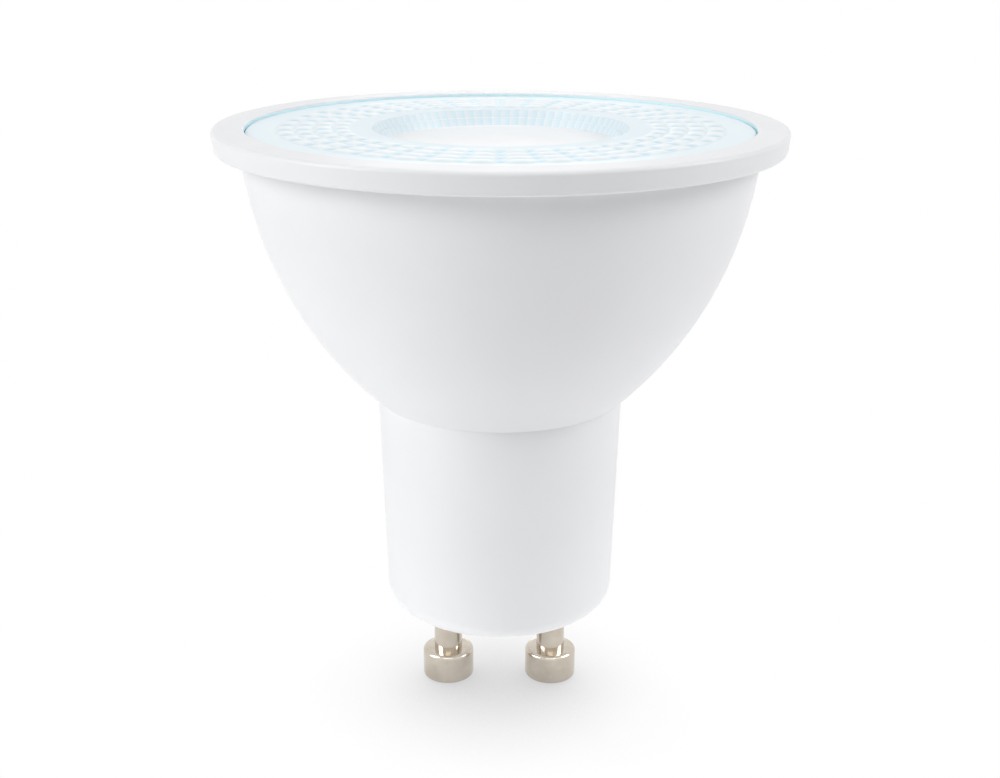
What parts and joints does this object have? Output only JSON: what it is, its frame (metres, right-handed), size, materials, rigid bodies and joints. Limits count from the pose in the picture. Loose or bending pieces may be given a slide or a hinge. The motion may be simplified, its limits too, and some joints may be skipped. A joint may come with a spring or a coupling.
{
  "type": "gu10 spotlight bulb",
  "caption": "Spotlight bulb with a flared white body, a clear faceted lens in its rim and stepped twist-lock contact pins under a straight neck.",
  "frame": {"origin": "midway between the ends of the contact pins, on the surface the bulb stands on", "axes": "+Z along the lamp axis towards the lens, +X from the left contact pin to the right one"},
  "size_m": [0.0498, 0.0498, 0.054],
  "materials": {
    "white_plastic": "satin moulded white",
    "clear_plastic": "clear, polished, faintly blue",
    "nickel": "nickel plated, satin",
    "pressed_aluminium": "pressed sheet",
    "board_white": "white lacquer on an aluminium core",
    "led_package": "pale package with a yellow dish",
    "screw_steel": "zinc plated",
    "board_green": "green lacquer",
    "can_sleeve": "dark shrink sleeve",
    "film_box": "moulded box",
    "ferrite": "sintered, matt",
    "enamelled_copper": "enamelled copper turns",
    "package_black": "moulded, matt",
    "resistor_lacquer": "lacquered",
    "tinned_wire": "tinned"
  },
  "bodies": {
    "root": {"housing": "white_plastic", "lens": "clear_plastic", "contact_pin_left": "nickel", "contact_pin_right": "nickel", "heat_sink_cup": "pressed_aluminium", "led_board": "board_white", "board_screws": "screw_steel", "driver_board": "board_green", "bulk_capacitor": "can_sleeve", "output_capacitor": "can_sleeve", "film_capacitor": "film_box", "inductor_core": "ferrite", "inductor_winding": "enamelled_copper", "bridge_rectifier": "package_black", "driver_chip": "package_black", "flyback_diode": "package_black", "fuse_resistor": "resistor_lacquer", "lead_wire_left": "tinned_wire", "lead_wire_right": "tinned_wire", "output_pin_left": "tinned_wire", "output_pin_right": "tinned_wire", "led_1": "led_package", "led_2": "led_package", "led_3": "led_package", "led_4": "led_package", "led_5": "led_package", "led_6": "led_package"}
  },
  "joints": []
}
